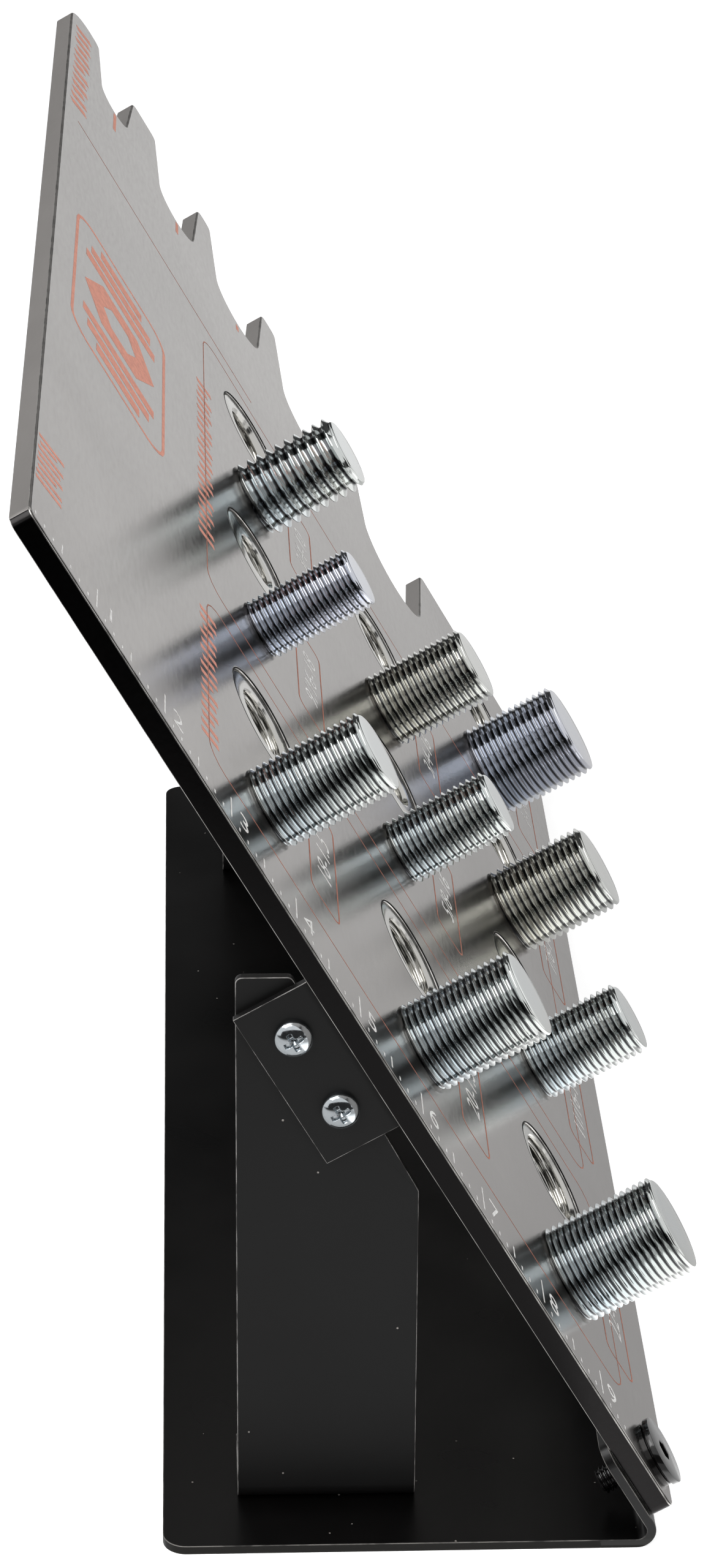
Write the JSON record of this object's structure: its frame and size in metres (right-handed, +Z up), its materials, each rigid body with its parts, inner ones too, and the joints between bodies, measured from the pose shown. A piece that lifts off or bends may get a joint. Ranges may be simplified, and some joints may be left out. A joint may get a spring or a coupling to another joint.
{
  "type": "thread checker",
  "caption": "Tilted steel plate on a folded stand, with threaded studs and inserts for trying nuts and bolts, a ruler edge and size slots.",
  "frame": {"origin": "centre of the stand's underside, on the surface it stands on", "axes": "+X the way the plate faces, +Y along the plate towards its size slots, +Z up"},
  "size_m": [0.1413, 0.388, 0.2314],
  "materials": {
    "satin_steel": "satin",
    "black_sheet": "satin",
    "zinc_steel": "bright zinc",
    "insert_steel": "turned",
    "screw_steel": "black oxide, satin"
  },
  "bodies": {
    "root": {"gauge_plate": "satin_steel", "base": "black_sheet", "leg_left": "black_sheet", "leg_right": "black_sheet", "bracket_left": "black_sheet", "bracket_right": "black_sheet", "stud_m18": "zinc_steel", "insert_m18": "insert_steel", "stud_inch_9_16": "zinc_steel", "insert_inch_9_16": "insert_steel", "stud_inch_3_4_coarse": "zinc_steel", "insert_inch_3_4_coarse": "insert_steel", "stud_m20": "zinc_steel", "insert_m20": "insert_steel", "stud_inch_5_8": "zinc_steel", "insert_inch_5_8": "insert_steel", "stud_inch_3_4_fine": "zinc_steel", "insert_inch_3_4_fine": "insert_steel", "stud_m22": "zinc_steel", "insert_m22": "insert_steel", "stud_inch_11_16": "zinc_steel", "insert_inch_11_16": "insert_steel", "stud_inch_7_8": "zinc_steel", "insert_inch_7_8": "insert_steel", "stud_inch_1": "zinc_steel", "insert_inch_1": "insert_steel", "tab_screws": "zinc_steel", "tab_nuts": "zinc_steel", "flange_screws": "zinc_steel", "foot_bolts": "zinc_steel", "foot_nuts": "zinc_steel", "lip_screws": "screw_steel"}
  },
  "joints": []
}
